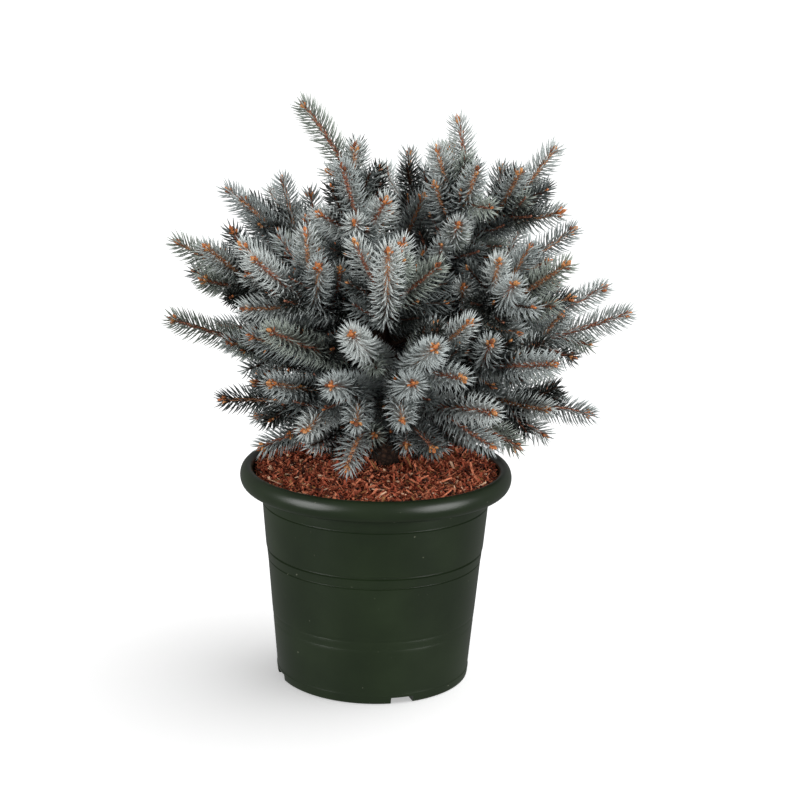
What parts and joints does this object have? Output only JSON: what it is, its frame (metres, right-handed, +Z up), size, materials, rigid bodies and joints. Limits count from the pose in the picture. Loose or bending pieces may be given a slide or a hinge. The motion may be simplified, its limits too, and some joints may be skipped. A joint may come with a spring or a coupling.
{
  "type": "potted blue spruce",
  "caption": "Young blue spruce with a short trunk, whorled boughs and needled shoots, in a round rolled-rim nursery tub topped with bark mulch.",
  "frame": {"origin": "centre of the tub's flat underside", "axes": "+Z up along the tub's axis, -Y towards the front, +X to the right"},
  "size_m": [0.4746, 0.4347, 0.6077],
  "materials": {
    "moulded_tub": "satin dark green moulding",
    "potting_mix": "dark fibrous compost",
    "bark_mulch": "loose shredded red-brown bark",
    "trunk_bark": "rough dark scaly bark",
    "bough_bark": "ribbed brown twig bark",
    "needles": "waxy blue-grey needles"
  },
  "bodies": {
    "root": {"pot": "moulded_tub", "potting_mix": "potting_mix", "bark_mulch": "bark_mulch", "trunk": "trunk_bark", "foliage_skirt_1": "needles", "foliage_skirt_2": "needles", "foliage_skirt_3": "needles", "foliage_skirt_4": "needles", "foliage_skirt_5": "needles", "foliage_skirt_6": "needles", "foliage_lower_1": "needles", "foliage_lower_2": "needles", "foliage_lower_3": "needles", "foliage_lower_4": "needles", "foliage_lower_5": "needles", "foliage_lower_6": "needles", "foliage_front_1": "needles", "bough_middle_1": "bough_bark", "foliage_middle_1": "needles", "bough_middle_2": "bough_bark", "foliage_middle_2": "needles", "bough_middle_3": "bough_bark", "foliage_middle_3": "needles", "bough_middle_4": "bough_bark", "foliage_middle_4": "needles", "bough_middle_5": "bough_bark", "foliage_middle_5": "needles", "bough_middle_6": "bough_bark", "foliage_middle_6": "needles", "bough_middle_7": "bough_bark", "foliage_middle_7": "needles", "bough_middle_8": "bough_bark", "foliage_middle_8": "needles", "bough_upper_1": "bough_bark", "foliage_upper_1": "needles", "bough_upper_2": "bough_bark", "foliage_upper_2": "needles", "bough_upper_3": "bough_bark", "foliage_upper_3": "needles", "bough_upper_4": "bough_bark", "foliage_upper_4": "needles", "bough_upper_5": "bough_bark", "foliage_upper_5": "needles", "bough_upper_6": "bough_bark", "foliage_upper_6": "needles", "bough_upper_7": "bough_bark", "foliage_upper_7": "needles", "bough_upper_8": "bough_bark", "foliage_upper_8": "needles", "foliage_shoulder_1": "needles", "foliage_shoulder_2": "needles", "foliage_crest_1": "needles", "foliage_crest_2": "needles", "foliage_leader_1": "needles", "foliage_low_inset_1": "needles", "foliage_high_inset_1": "needles"}
  },
  "joints": []
}
